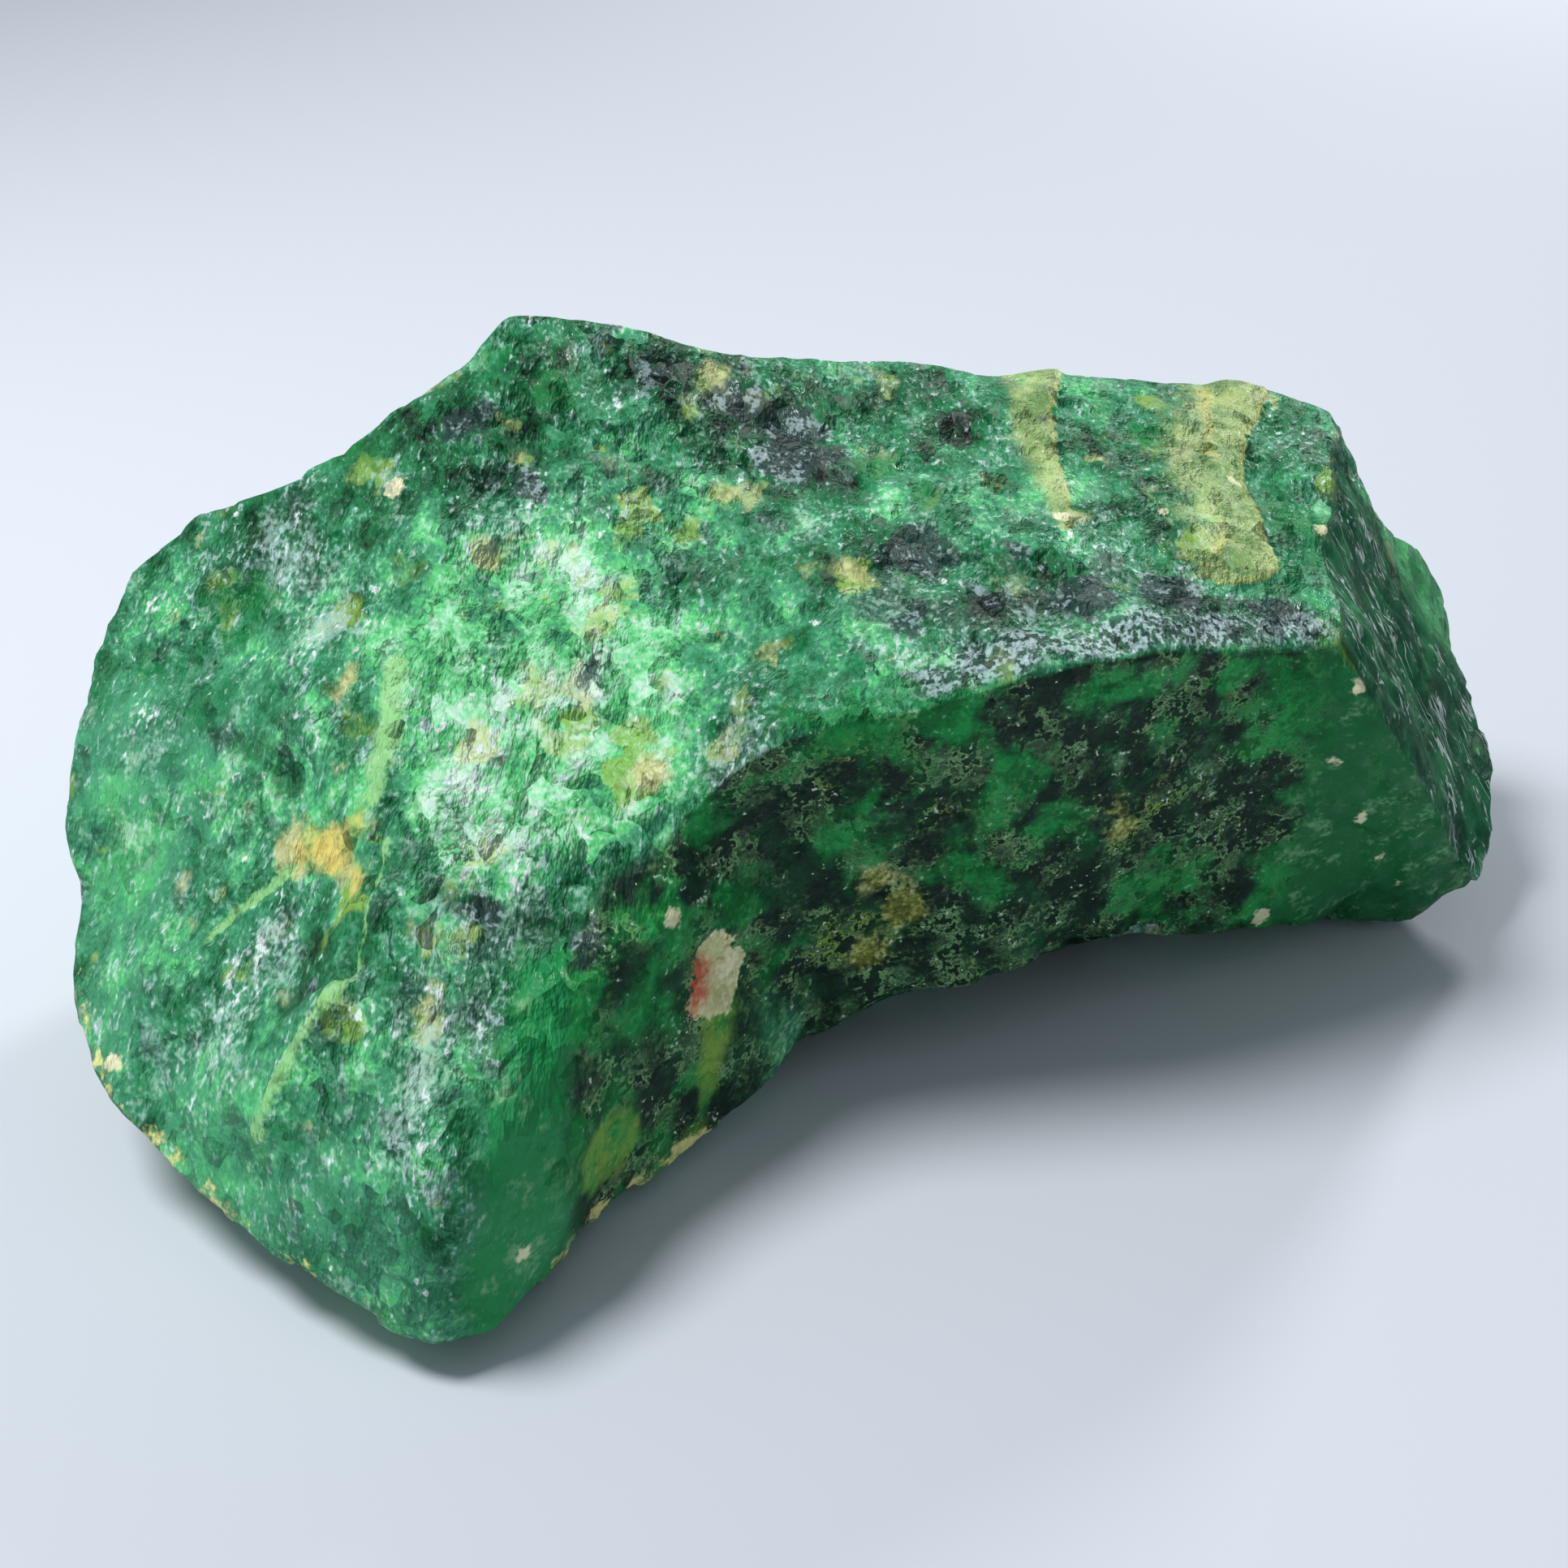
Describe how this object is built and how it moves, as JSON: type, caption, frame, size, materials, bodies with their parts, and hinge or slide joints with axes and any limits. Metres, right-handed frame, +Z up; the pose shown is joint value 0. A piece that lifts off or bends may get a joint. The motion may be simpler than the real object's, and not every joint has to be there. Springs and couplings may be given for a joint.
{
  "type": "raw emerald",
  "caption": "Rough block of massive green gem rock, broken on every side, with a long crested slope, a flat top, an overhanging front and a flat face to rest on.",
  "frame": {"origin": "middle of the stone's outline, on the ground under its resting face", "axes": "+X along the length, from the low rounded end to the square right end; +Y from the dark overhanging front to the back; +Z up from the resting face"},
  "size_m": [0.1646, 0.1274, 0.0709],
  "materials": {
    "green_stone": "rough broken green gem rock, waxy where it broke smooth, with pale frosted flecks, near-black patches and ochre bands"
  },
  "bodies": {
    "root": {"green_stone": "green_stone"}
  },
  "joints": []
}
